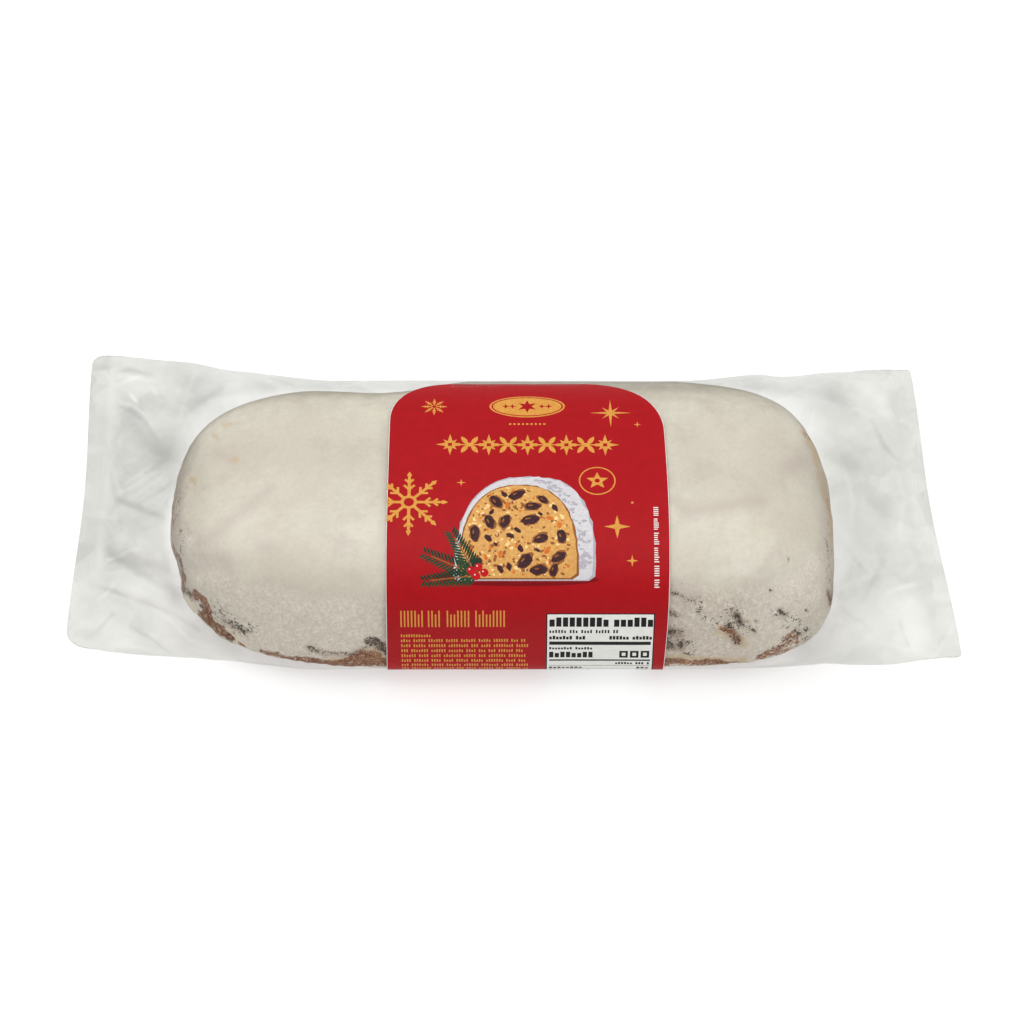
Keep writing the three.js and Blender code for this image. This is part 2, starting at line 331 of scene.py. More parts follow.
def crease_bag(xs, grid):
    """The flaps' wrinkles: creased rings, the veil's tone with painted shade and highlights of its
    creases, and how much it faces up.
    """
    normal = grid_normals(grid).reshape(-1, 3)
    points = grid.reshape(-1, 3)
    far = np.abs(np.repeat(xs, grid.shape[1]))
    right = points[:, 0] > 0
    to_seal = np.where(right, ENDS[1]["reach"], ENDS[-1]["reach"]) - SEAL_LENGTH - far
    loose = ease(far, LOOSE_START, LOOSE_FULL) * ease(to_seal, 0, 9)
    drawn = points * DRAWN_OUT
    facets = np.abs(noise(drawn, 26, 21)) + 0.6 * np.abs(noise(drawn, 13, 22)) - 0.55
    fine = np.abs(noise(drawn, 7, 23)) - 0.35
    # Both sheets share their creases where they near each other at the seal.
    near_seal = ease(to_seal, 16, 6)
    level = np.clip(3 * normal[:, 2], -1, 1)
    push = loose * (CRUMPLE * facets + FINE_CRUMPLE * fine) * (1 - near_seal)
    clouds = 0.34 * noise(drawn, 24, 24) + 0.26 * noise(drawn, 11, 25)
    # Veil tone: random cloudiness plus painted shade along the crumpled creases.
    tone = np.where(right, RIGHT_CALM, 1.0) * loose * (clouds + 0.5 * facets + 0.12 * fine)
    px = frame_px(points)
    facing = ease(-(normal @ FORWARD), 0.05, 0.3)
    for line, height, width, light in FOLDS:
        d, t = to_line(px, line)
        taper = np.sin(np.pi * clamp01(t * 0.8 + 0.1)) ** 0.5
        near = taper * mix(facing, 1.0, near_seal) * loose
        push += height * np.exp(-((d / width) ** 1.4)) * near * mix(1.0, level, near_seal)
        # Painted highlight and shade on the veil along each fold.
        tone += light * np.exp(-((d / width) ** 2)) * near
    push += (1 - ease(far, HUG_END, HUG_FADE)) * ripple(points)
    on_floor = (points[:, 2] < 0.5) & (far < BASE_END)
    moved = points + normal * np.where(on_floor, 0, push)[:, None]
    moved[:, 2] = np.maximum(moved[:, 2], 0.0)
    return moved.reshape(grid.shape), tone, normal[:, 2]


# ---- the loaf

LOAF_HALF, LOAF_SHIFT, LOAF_HALF_WIDTH, LOAF_FLANK = 127.4, -2.75, 57.8, 16.6
LOAF_HEIGHT, LOAF_LIFT = 62.0, 0.8
# Exponents of its section and its side outline above and below the flank, and of its plan:
# side -> back pair, front pair.
LOAF_SQUARES = 3.62, 3.78
SIDE_ABOVE, SIDE_BELOW = (8, 2.75), (6, 2.5)
PLAN = {-1: ((2.34, 4.0), (4.7, 2.08)), 1: ((8.0, 1.64), (5.62, 4.0))}
# The hollow in the back, left of the label, as shares of the half-width.
HOLLOW_SLOPE, HOLLOW_DIP = 0.035, 0.075
# The coat's smallest gaps to the film and to the floor.
CONTACT_GAP, LOAF_FLOOR = 0.35, 0.7


def bow(r, powers):
    """Height of a squarish arch at a share r of its half-span."""
    return (1 - r ** powers[0]) ** (1 / powers[1])


def loaf_section(t, steps=720):
    """Closed section of the loaf at a share of its half-length, closer together at the ends."""
    x = LOAF_HALF * math.copysign(1 - (1 - abs(t)) ** 2.2, t)
    r = abs(x) / LOAF_HALF
    plan_back, plan_front = PLAN[1 if x > 0 else -1]
    hollow = HOLLOW_SLOPE * ease(-x, 20, 75) + HOLLOW_DIP * ease(-x, 10, 40) * ease(x, -80, -42)
    back = LOAF_HALF_WIDTH * bow(r, plan_back) * (1 - hollow)
    front = LOAF_HALF_WIDTH * bow(r, plan_front)
    up, down = (LOAF_HEIGHT - LOAF_FLANK) * bow(r, SIDE_ABOVE), LOAF_FLANK * bow(r, SIDE_BELOW)
    y, rise, _ = squarish(steps, LOAF_SQUARES, (back, front), (up, down))
    z = np.maximum(LOAF_FLANK + rise, 0.5) + LOAF_LIFT
    return np.stack([np.full(steps, x + LOAF_SHIFT), y, z], -1)


def loaf_grid(rows=360, count=264):
    ends = 0.9985
    shares = np.linspace(-ends, ends, rows)
    return np.array([even_ring(loaf_section(t), count, count * 2 // 3) for t in shares])


# Marks on the coat: polylines in the picture frame with their half-width in pixels.
# Bare crust.
BARE_PATCHES = [
    ([(194, 594), (202, 600), (207, 612)], 4.2),
    ([(203, 612), (210, 623), (224, 632), (232, 637)], 4.6),
    ([(200, 616), (212, 628), (228, 637)], 4.0), ([(241, 644), (243, 646)], 2.6),
    ([(262, 653), (276, 656), (292, 660)], 2.4), ([(298, 660), (309, 660), (322, 663)], 3.4),
    ([(326, 665), (345, 662), (388, 661)], 4.6), ([(352, 657), (366, 654), (378, 655)], 3.4),
    ([(762, 658), (774, 652), (784, 643), (796, 633)], 5.2), ([(774, 655), (796, 649)], 4.0),
    ([(795, 634), (797, 641)], 4.0), ([(664, 662), (690, 662), (717, 662), (744, 664)], 3.0),
    ([(722, 630), (732, 632), (738, 640)], 2.4), ([(806, 433), (808, 438)], 1.8),
    ([(830, 592), (833, 604)], 2.2), ([(829, 498), (833, 512)], 0.9),
    ([(172, 500), (170, 534), (175, 556)], 1.6), ([(177, 556), (181, 574), (184, 590)], 1.5),
]
# Lumps and hollows in the loaf's outline: line, half-width in pixels, height in mm.
KNOBS = [
    ([(172, 512), (170, 526), (171, 542)], 13.0, 1.1), ([(175, 562), (179, 578)], 7.0, -0.9),
    ([(182, 590), (184, 596)], 4.0, 0.5), ([(836, 545), (837, 560), (836, 580)], 16.0, -0.5),
    ([(174, 494), (177, 478)], 10.0, 0.6), ([(217, 633), (232, 641)], 4.0, 0.5),
]
# Strands of coat over the crust.
STRANDS = [([(227, 628), (235, 636), (244, 644)], 0.8), ([(186, 598), (192, 608)], 4.0)]
# Pits: column, row and radius in pixels.
PITS = [
    (737, 617, 4.4), (740, 624, 3.2), (735, 640, 1.8), (755, 632, 2.8), (782, 613, 2.6),
    (806, 611, 1.6), (799, 636, 2.6), (756, 622, 1.3), (670, 647, 2.6), (683, 645, 2.0),
    (670, 636, 2.2), (376, 644, 4.8), (383, 649, 3.4), (232, 622, 1.6), (240, 627, 1.5),
    (249, 631, 1.5), (224, 616, 1.4), (697, 634, 1.4), (310, 648, 1.8), (792, 560, 1.6),
    (771, 591, 1.4), (232, 628, 1.6), (214, 612, 1.2),
]
# Zones with dark grains.
SPECKS = [
    ([(212, 608), (232, 622), (252, 632)], 11), ([(668, 632), (686, 648)], 12),
    ([(368, 640), (386, 650)], 10), ([(728, 612), (744, 626)], 12), ([(780, 612), (806, 636)], 12),
    ([(668, 588), (698, 600)], 8), ([(175, 490), (185, 590)], 6), ([(300, 650), (320, 650)], 8),
    ([(829, 524), (832, 594)], 5), ([(700, 610), (716, 622)], 8),
]
# Grease-warm spots.
WARM = [
    ([(213, 434), (216, 437)], 2.2), ([(233, 459), (238, 461)], 2.4),
    ([(191, 478), (193, 484)], 2.2), ([(223, 424), (231, 424)], 1.6),
    ([(814, 444), (822, 476)], 3.4), ([(824, 484), (832, 512)], 2.6),
    ([(806, 430), (812, 444)], 4.0), ([(830, 500), (834, 540)], 3.0),
    ([(366, 655), (386, 655)], 6.0), ([(326, 662), (366, 660)], 4.0),
    ([(816, 640), (806, 645)], 2.5), ([(664, 658), (744, 660)], 4.0),
    ([(720, 630), (742, 640)], 5.0),
]
# Grey-rose smears, and a painted shadow of the label's edge just left of it.
ROSE = [
    ([(189, 550), (220, 530), (250, 506), (268, 489)], 5.0),
    ([(176, 470), (174, 540), (186, 590)], 9.0), ([(188, 560), (220, 562)], 11.0),
    ([(219, 455), (232, 460)], 5.5), ([(829, 515), (832, 560), (830, 600)], 7.0),
    ([(832, 520), (833, 596)], 2.5), ([(666, 590), (694, 598)], 9.0),
    # The last entry on the next line is a painted shadow beside the label's left edge.
    ([(664, 630), (686, 640)], 9.0), ([(383, 424), (386, 480), (386, 570)], 2.0),
    ([(784, 470), (800, 462)], 8.0), ([(686, 512), (760, 500)], 7.0),
    ([(262, 545), (276, 548)], 4.0),
]
# Painted shade: a greyer band along the rear left edge of the outline.
PAINTED_RIM_SHADE = [([(174, 500), (178, 466), (190, 438), (212, 419), (244, 405), (290, 396), (380, 394)], 3.0)]
# Dark, greasy patches.
STAINS = [
    ([(667, 632), (678, 634)], 5.0), ([(667, 645), (682, 647)], 5.0),
    ([(670, 592), (684, 597)], 1.8), ([(372, 643), (386, 649)], 5.0),
    ([(735, 615), (740, 623)], 4.5), ([(728, 628), (738, 640)], 5.0),
    ([(781, 613), (786, 614)], 3.0), ([(222, 619), (236, 628), (250, 632)], 1.8),
    ([(308, 647), (318, 650)], 2.2), ([(322, 654), (350, 654), (368, 648)], 2.0),
    ([(171, 500), (170, 536)], 2.0), ([(174, 556), (184, 588), (190, 600)], 3.0),
    ([(832, 592), (832, 604)], 2.0), ([(664, 612), (676, 616)], 3.0),
]


def mark(px, lines, softness):
    """Strongest cover of wide polylines: 1 inside, fading over the softness."""
    cover = np.zeros(len(px))
    for line, width in lines:
        cover = np.maximum(cover, ease(width + softness - to_line(px, line)[0], 0, 2 * softness))
    return cover


def underneath(normal):
    return ease(-normal[:, 2], 0.75, 0.95)


def painted_edge_shade(points, normal, pressed, rim_shade):
    """Painted shade where the loaf turns down behind and at its ends, over the back of its top, and
    along the rear left outline.
    """
    lean = normal[:, 2] - 0.88 * np.maximum(normal[:, 1], 0)
    # Painted shade: strongest where the surface leans back and away, faded where it faces straight
    # back.
    thin = ease(lean, 0.8, 0.03) * ease(normal[:, 1], -0.6, -0.1)
    thin = thin * mix(0.15, 1.0, ease(lean, -0.2, 0.0)) * (1 - 0.4 * ease(points[:, 0], 85, 110))
    return np.maximum.reduce([thin, 0.42 * pressed * ease(points[:, 1], 14, 46), 0.75 * rim_shade])


def shaded_flank(x, normal):
    """Painted shade on the front flank, strongest in the middle and to the right."""
    low = ease(normal[:, 2], 0.85, 0.3) * ease(-normal[:, 1], 0.5, 0.9)
    return low * (1 - 0.9 * ease(np.abs(x - LOAF_SHIFT), 84, 108)) * mix(0.5, 1.0, ease(x, -60, 0))


def coat_fields(points, normal):
    """What the coat is like at each point, and where shade and light are painted on it, for the
    material: each field goes from 0 to 1.
    """
    px = frame_px(points)
    seen = ease(-(normal @ FORWARD), -0.05, 0.2)
    hidden = 1 - seen
    pressed = ease(normal[:, 2] + 0.2 * cloudy(points, 24, 3, 41), 0.2, 0.8)
    powder = 1 - pressed
    ragged = 2.2 * noise(points, 2.6, 51) + 1.6 * noise(points, 6.0, 52)
    jitter = px + np.stack([ragged, 1.5 * noise(points, 3.4, 53)], -1)
    strand = mark(px + 0.4 * ragged[:, None], STRANDS, 0.8) * seen
    # bare crust: patches in front, the foot behind, and all of the underside
    dusted = 0.36 * ease(points[:, 0], 60, 100)
    foot = ease(6.5 - points[:, 2] + 5.0 * cloudy(points, 14, 3, 61), 0, 3)
    patches = mark(jitter, BARE_PATCHES, 3.0) * seen * (1 - dusted)
    bare = np.maximum.reduce([patches, foot * hidden * 0.9, underneath(normal)]) * (1 - strand)
    pit = np.zeros(len(points))
    for u, v, r in PITS:
        d = np.hypot(jitter[:, 0] - u, jitter[:, 1] - v)
        pit = np.maximum(pit, ease(r * 1.3 - d, 0, r))
    hidden_pits = ease(noise(points, 9, 71) * noise(points, 4.2, 72), 0.42, 0.55) * powder
    return {
        "powder": powder, "bare": bare, "strand": strand,
        "pit": np.maximum(pit * seen, hidden_pits * hidden * (1 - underneath(normal))),
        "speck": np.maximum(mark(px, SPECKS, 9) * seen, hidden * 0.3) * (1 - bare),
        "warm": np.maximum(mark(jitter, WARM, 2.5) * seen, foot * 0.5 * hidden),
        "rose": mark(jitter, ROSE, 9.0) * seen,
        "stain": mark(jitter, STAINS, 3.0) * seen,
        # Painted shade along the loaf's back and end edges.
        "shoulder": painted_edge_shade(points, normal, pressed, mark(px, PAINTED_RIM_SHADE, 9.0) * seen),
        # Painted shade on the front flank.
        "low": shaded_flank(points[:, 0], normal),
        # Painted light: a lighter coat on the flank that faces back.
        "painted_back_light": ease(normal[:, 1], 0.55, 0.95),
    }


def shape_loaf(grid, bag_tree):
    """The loaf's relief, held in by the film, and the fields of its coat."""
    normal = grid_normals(grid).reshape(-1, 3)
    points = grid.reshape(-1, 3)
    px = frame_px(points)
    fields = coat_fields(points, normal)
    powder, bare = fields["powder"], fields["bare"]
    lumps = 0.9 * noise(points, 46, 81) + 0.45 * noise(points, 17, 82) * (0.35 + 0.65 * powder)
    for line, width, height in KNOBS:
        lumps += height * np.exp(-((to_line(px, line)[0] / width) ** 2))
    grains = powder * (0.2 * noise(points, 4.5, 83) + 0.12 * noise(points, 2.0, 84))
    crust = bare * (-0.55 + 0.35 * noise(points, 2.4, 85) + 0.3 * noise(points, 6, 86))
    push = lumps + grains * (1 - bare) + crust - 1.7 * fields["pit"] + 0.6 * fields["strand"]
    moved = points + normal * ((1 - underneath(normal)) * push)[:, None]
    moved[:, 2] = np.maximum(moved[:, 2], LOAF_FLOOR)
    for i, p in enumerate(moved):
        hit, n, _, _ = bag_tree.find_nearest(p)
        if (Vector(p) - hit).dot(n) > -CONTACT_GAP:
            moved[i] = hit - n * CONTACT_GAP
    return moved.reshape(grid.shape), fields


# ---- meshes


def grid_faces(rows, count):
    r, c = np.meshgrid(np.arange(rows - 1), np.arange(count), indexing="ij")
    a = (r * count + c).ravel()
    b = (r * count + (c + 1) % count).ravel()
    return np.stack([a, b, b + count, a + count], -1).tolist()


def pinched_caps(rows, count):
    """Faces that close both ends of a row of flat rings by joining across them."""
    faces = []
    for base, flip in ((0, False), ((rows - 1) * count, True)):
        for i in range(count // 2):
            quad = [i, (count - i) % count, (count - i - 1) % count, i + 1]
            quad = [base + q for k, q in enumerate(quad) if q not in quad[:k]]
            faces.append(quad[::-1] if flip else quad)
    return faces


def fan_caps(rows, count):
    """Faces that close both ends of a row of rings at two points that come after them."""
    faces = []
    for i in range(count):
        faces.append([rows * count, (i + 1) % count, i])
        last = (rows - 1) * count
        faces.append([rows * count + 1, last + i, last + (i + 1) % count])
    return faces


def surface_tree(points, faces):
    return BVHTree.FromPolygons([tuple(p) for p in points], faces)


def make_mesh(name, points, faces, fields=None):
    """A smooth mesh with one number per point for each named field."""
    mesh = bpy.data.meshes.new(name)
    mesh.from_pydata([tuple(p) for p in np.asarray(points) * MM], [], faces)
    mesh.update()
    for key, values in (fields or {}).items():
        layer = mesh.attributes.new(key, "FLOAT", "POINT")
        layer.data.foreach_set("value", np.asarray(values, np.float32))
    mesh.shade_smooth()
    piece = bpy.data.objects.new(name, mesh)
    bpy.context.collection.objects.link(piece)
    return piece


# ---- the label's print

LABEL_LEFT, LABEL_WIDTH, LABEL_START, LABEL_LENGTH = -46.0, 103.5, 42.5, 206.5
# Radii of its left and right corners, the bow of its right edge, the flare of its left edge
# between two depths, and the red field's share of its width.
LABEL_CORNERS, LABEL_BOW, LABEL_BOW_LENGTH = (25.0, 31.0), 1.6, 150.0
LABEL_FLARE, FLARE_DEPTHS, LABEL_TRIM = 0.8, (105.0, 165.0), 0.996
# Heights of its faces above the film, its pocket in the base, and its gap to the floor. Then
# half the length its tangent is taken over, and the height up to which it eases into the pocket.
LABEL_FRONT, LABEL_BACK, BASE_POCKET, BASE_CLEAR = 0.2, 0.03, 0.45, 0.02
TANGENT_STEP, BASE_ZONE = 0.6, 6.0
# Longest step along a printed edge, and the steps of the slanted rows of points between edges.
PRINT_STEP, ROW_STEP, COLUMN_STEP, SLANT = 2.4, 2.2, 5.0, (0.013, 0.011)
# The inks, in the order of the label's materials.
RED, DEEP, GOLD, WHITE, BLACK, CRUMB, CREAM, BROWN = range(8)
RAISIN, PEEL, SUGAR, SHADE, LEAF, PINE, BERRY = range(8, 15)

# Places on the flat label: across, then down from its top left.
PLAQUE, DOTS_ROW, GARLAND, BADGE = (52.4, 17.2), 27.4, (18.2, 86.8, 38.3), (78.5, 56.5)
LARGE_CRYSTAL, SMALL_CRYSTAL, LARGE_STAR = (8.2, 66.8), (16.9, 17.4), (84.1, 21.2)
# Lone stars: place, reach and inner radius.
LONE_STARS = [
    (94.2, 27.7, 1.5, 0.4), (27.6, 57.5, 1.8, 0.45), (91.0, 91.0, 2.3, 0.6), (85.6, 77.6, 4.9, 1.3),
]
CRUMB_MIDDLE, CRUMB_HALF, CRUMB_HEIGHT, CRUMB_BASE = 48.8, 21.3, 38.0, 96.5
PORES, RAISINS, FRUITS, DUSTS = 420, 15, 34, 90
TWIG_ROOT, NEEDLES = (33.5, 96.4), 15
BERRIES = [(31.4, 94.6), (34.2, 93.4), (33.4, 96.6), (36.4, 95.4)]
PRINT_LEFT, LINE_PITCH = 5.2, 2.95
PANEL, PANEL_LINE, PANEL_MARGIN, PANEL_ROWS = (59.3, 111.2, 99.6, 181.0), 0.45, 1.2, 12
# Rows of bars in the panel: left, right, top, bottom, pitch, gap, and whether in groups.
PANEL_BARS = [
    (60.5, 83.0, 113.0, 117.4, 2.5, 0.55, False), (84.5, 100.0, 113.0, 117.4, 2.5, 0.55, False),
    (60.5, 87.5, 119.0, 120.7, 1.1, 0.45, True), (60.5, 74.5, 122.2, 124.2, 1.25, 0.3, True),
    (82.9, 99.4, 122.2, 124.2, 1.25, 0.3, True), (60.5, 77.5, 128.6, 130.0, 1.1, 0.35, True),
    (60.5, 77.5, 131.4, 134.8, 2.1, 0.5, False), (85.4, 99.4, 137.7, 139.2, 1.1, 0.35, True),
]


def polar(x, s, r, a):
    return x + r * math.sin(a), s - r * math.cos(a)


def turned(x, s, points, turn):
    """Points round the origin, turned clockwise and moved to a place."""
    c, d = math.cos(turn), math.sin(turn)
    return [(x + a * c - b * d, s + a * d + b * c) for a, b in points]


def disc(x, s, r, n=20, stretch=1.0):
    turns = [2 * math.pi * k / n for k in range(n)]
    return [(x + r * stretch * math.cos(a), s + r * math.sin(a)) for a in turns]


def star(x, s, tips, outer, inner, turn=0.0):
    spokes = range(2 * tips)
    return [polar(x, s, inner if k % 2 else outer, turn + math.pi * k / tips) for k in spokes]


def box(x0, s0, x1, s1):
    return [(x0, s0), (x1, s0), (x1, s1), (x0, s1)]


def stroke(x0, s0, x1, s1, width):
    length = math.hypot(x1 - x0, s1 - s0)
    nx, ns = -(s1 - s0) / length * width / 2, (x1 - x0) / length * width / 2
    return [(x0 + nx, s0 + ns), (x1 + nx, s1 + ns), (x1 - nx, s1 - ns), (x0 - nx, s0 - ns)]


def blob(x, s, rx, rs, rng, n, rough, turn=0.0):
    """An oval with an uneven edge."""
    points = []
    for k in range(n):
        a = 2 * math.pi * k / n
        r = 1 + rough * rng.uniform(-1, 1)
        points.append((rx * r * math.cos(a), rs * r * math.sin(a)))
    return turned(x, s, points, turn)


def leaf(x, s, length, width, turn, n=7):
    """A pointed leaf that starts at a point and runs towards an angle from straight up."""
    half = [(width / 2 * math.sin(math.pi * k / n) ** 0.8, -length * k / n) for k in range(n + 1)]
    return turned(x, s, half + [(-a, b) for a, b in half[-2:0:-1]], turn)


def dome(x0, x1, base, height, power, lean, rough, rng):
    """Outline of a cut loaf: flat base, rounded top that leans sideways, uneven edge."""
    half, mid, lip, steps = (x1 - x0) / 2, (x0 + x1) / 2, 1.6, 44
    out = [(x1 - 2.2, base), (x0 + lip, base)]
    for k in range(steps + 1):
        a = math.pi - math.pi * k / steps
        rise = max(math.sin(a), 0.0) ** (2 / power)
        bump = rng.uniform(-rough, rough)
        x = mid + half * math.copysign(abs(math.cos(a)) ** (2 / power), math.cos(a)) + lean * rise
        out.append((x + bump, base - lip - (height - lip + bump) * rise))
    return out


def bars(x0, x1, s0, s1, pitch, gap, rng, grouped=True):
    """A row of small upright bars, in groups or not: print without any lettering."""
    x = x0
    while x < x1 - pitch:
        for _ in range(rng.integers(3, 9) if grouped else 1000):
            if x > x1 - pitch:
                break
            top = s0 + (s1 - s0) * rng.choice([0.0, 0.0, 0.22])
            yield box(x, top, x + pitch - gap, s1)
            x += pitch
        x += 0.9 * pitch


def inked(ink, shapes):
    return ((ink, shape) for shape in shapes)


def snow_crystal(x, s, radius, arms, width):
    """A line-art crystal: arms with side branches and a diamond at each tip."""
    tall, wide = radius * 0.12, radius * 0.065
    diamond = [(0, -tall), (wide, 0), (0, tall), (-wide, 0)]
    for k in range(arms):
        a = 2 * math.pi * k / arms
        inner, outer = polar(x, s, radius * 0.16, a), polar(x, s, radius * 0.8, a)
        yield stroke(*inner, *outer, width)
        for at, reach in ((0.4, 0.2), (0.62, 0.16)):
            root = polar(x, s, radius * at, a)
            for turn in (-0.75, 0.75):
                yield stroke(*root, *polar(*root, radius * reach, a + turn), width * 0.8)
        yield turned(*polar(x, s, radius * 0.88, a), diamond, a)


def garland(x0, x1, s):
    """Stars on a thin stem with pairs of leaves between them."""
    stars, ends = 5, 5
    pitch = (x1 - x0 - 2 * ends) / (stars - 1)
    places = [x0 + ends + pitch * k for k in range(stars)]
    yield GOLD, stroke(x0 + 1, s, x1 - 1, s, 0.5)
    for x in places:
        yield GOLD, star(x, s, 4, 5.4, 1.5)
        yield GOLD, star(x, s, 4, 3.6, 1.3, math.pi / 4)
    for x in places[:-1]:
        x += pitch / 2
        for side in (-1, 1):
            for turn in (0.55, math.pi - 0.55):
                yield GOLD, leaf(x + side * 0.6, s, 4.9, 1.9, side * turn)
            yield GOLD, disc(x + side * 4.1, s, 0.75, 12)
        yield GOLD, disc(x, s, 1.0, 14)
    for x in places:
        yield RED, star(x, s, 4, 1.2, 0.7, math.pi / 4)


def plaque(x, s):
    """An oval plaque with a row of stars, over a dotted line."""
    for ink, tall, wide in ((GOLD, 6.5, 14.4), (RED, 5.9, 13.7), (GOLD, 5.4, 13.1)):
        yield ink, disc(x, s, tall, 44, wide / tall)
    yield RED, star(x, s, 6, 3.9, 1.7)
    for dx in (-8.2, -5.6, 5.6, 8.2):
        yield RED, star(x + dx, s, 4, 1.5, 0.55)
    for dx in np.linspace(-6.5, 6.5, 9):
        yield GOLD, disc(x + dx, DOTS_ROW, 0.5, 8)


def scattered_art():
    """Crystals and stars over the field."""
    yield from inked(GOLD, snow_crystal(*LARGE_CRYSTAL, 14.6, 8, 1.15))
    yield GOLD, disc(*LARGE_CRYSTAL, 3.1)
    yield RED, disc(*LARGE_CRYSTAL, 1.9)
    yield from inked(GOLD, snow_crystal(*SMALL_CRYSTAL, 4.9, 8, 0.5))
    yield GOLD, star(*LARGE_STAR, 4, 8.0, 0.95)
    yield GOLD, star(*LARGE_STAR, 4, 4.6, 0.9, math.pi / 4)
    for x, s, reach, inner in LONE_STARS:
        yield GOLD, star(x, s, 4, reach, inner)
    yield GOLD, disc(91.4, 67.1, 0.5, 10)


def badge(x, s):
    """A ring badge with a star."""
    yield GOLD, disc(x, s, 6.9, 44)
    yield RED, disc(x, s, 6.4, 44)
    yield GOLD, star(x, s, 5, 4.3, 1.9)
    yield RED, disc(x, s, 1.0, 12)


def in_crumb(x, s, margin):
    across = abs(x - CRUMB_MIDDLE) / (CRUMB_HALF - margin)
    up = max(CRUMB_BASE - s, 0) / (CRUMB_HEIGHT - margin)
    return across**2.4 + up**2.4 < 1


def place_fruit(rng):
    """Places and sizes of fruit that lie clear of each other: raisins first, then small ones."""
    placed = []
    while len(placed) < FRUITS:
        x, s = rng.uniform(29, 68.6), rng.uniform(61, 95.4)
        r = rng.uniform(1.7, 2.7) if len(placed) < RAISINS else rng.uniform(0.7, 1.3)
        clear = all(math.hypot(x - a, s - b) >= r + c + 1.0 for a, b, c in placed)
        if clear and in_crumb(x, s, r + 0.6):
            placed.append((x, s, r))
    return placed


def crumb_art(rng):
    """Pores and pieces of fruit in the cut face of the printed loaf."""
    for _ in range(PORES):
        x, s = rng.uniform(28, 69.6), rng.uniform(60, 96.4)
        if in_crumb(x, s, 1.2):
            r = rng.uniform(0.25, 0.65)
            ink = (BROWN, CREAM, PEEL)[rng.choice([0, 0, 0, 1, 1, 2])]
            yield ink, blob(x, s, 1.5 * r, r, rng, 6, 0.3, rng.uniform(0, 3.1))
    for k, (x, s, r) in enumerate(place_fruit(rng)):
        turn = rng.uniform(0, 3.1)
        if k < RAISINS:
            yield BROWN, blob(x, s, r * 1.55, r, rng, 14, 0.2, turn)
        ink = RAISIN if k < RAISINS or k % 3 else PEEL
        yield ink, blob(x, s, r * 1.35, r * 0.8, rng, 14, 0.16, turn)
        if k < RAISINS:
            yield BROWN, blob(x - 0.3 * r, s - 0.2 * r, r * 0.42, r * 0.16, rng, 7, 0.2, turn)


def slice_art(rng):
    """A cut slice of fruit loaf over its shadow, its sugared crust dusted on the right."""
    yield DEEP, disc(49.5, 98.0, 2.4, 30, 12.2)
    yield DEEP, disc(30, 97.2, 2.0, 24, 6.0)
    yield SHADE, dome(24.6, 77.2, 98.4, 44.0, 2.5, 2.2, 0.35, rng)
    yield SUGAR, dome(25.2, 76.4, 98.0, 43.2, 2.5, 2.2, 0.45, rng)
    for _ in range(DUSTS):
        a = rng.uniform(-1.35, 0.62)
        x = 52.8 + 23.0 * math.cos(a) - rng.uniform(0, 4.5)
        s = 91.0 + (36.0 * math.sin(a) if a < 0 else 5.5 * a)
        rx, rs = rng.uniform(0.4, 1.2), rng.uniform(0.3, 0.8)
        yield SHADE, blob(x, s, rx, rs, rng, 7, 0.3)
    yield BROWN, dome(26.6, 71.2, 97.9, 39.4, 2.4, 0.8, 0.2, rng)
    yield CRUMB, dome(27.3, 70.4, 97.3, 38.4, 2.4, 0.8, 0.25, rng)
    yield from crumb_art(rng)


def twigs(x0, s0):
    """Three fir twigs that meet under a few berries."""
    for x1, s1, lengthen in ((15.0, 88.5, 1.0), (14.6, 98.4, 0.9), (24.5, 80.6, 1.05)):
        heading = math.atan2(x1 - x0, s0 - s1)
        for t in np.linspace(0, 1, NEEDLES):
            x, s, reach = mix(x0, x1, t), mix(s0, s1, t), lengthen * (6.0 - 2.8 * t)
            yield LEAF, leaf(x, s, reach, 0.95, heading - 0.85, 4)
            yield PINE, leaf(x, s, reach, 0.95, heading + 0.85, 4)
        yield BROWN, stroke(x0, s0, mix(x0, x1, 0.9), mix(s0, s1, 0.9), 0.5)
    for x, s in BERRIES:
        yield BERRY, disc(x, s, 1.55, 16)
        yield WHITE, disc(x - 0.5, s - 0.5, 0.3, 6)


def small_print(rng):
    """A tall line of slim bars, two blocks of fine ones and a column at the right edge."""
    for x0, x1 in ((5.2, 13.4), (15.4, 20.4), (22.4, 31.0), (33.0, 44.4)):
        yield from inked(GOLD, bars(x0, x1 + 1.3, 110.0, 117.6, 1.3, 0.75, rng, False))
    yield from inked(GOLD, bars(PRINT_LEFT, 17.0, 121.4, 122.9, 0.95, 0.4, rng, False))
    for k in range(8):
        s, stop = 124.0 + LINE_PITCH * k, 54.0 - rng.uniform(0, 2.5) - (14 if k == 7 else 0)
        yield from inked(GOLD, bars(PRINT_LEFT, stop, s, s + 1.7, 0.95, 0.42, rng))
    for k in range(9):
        s = 152.0 + LINE_PITCH * k
        yield from inked(GOLD, bars(PRINT_LEFT, 53.0, s, s + 1.7, 1.9, 0.6, rng))
    s = 69.0
    while s < 99.0:
        for _ in range(rng.integers(3, 8)):
            yield WHITE, box(99.2, s, 101.0 - rng.choice([0.0, 0.4]), s + 0.42)
            s += 0.86
        s += 0.8


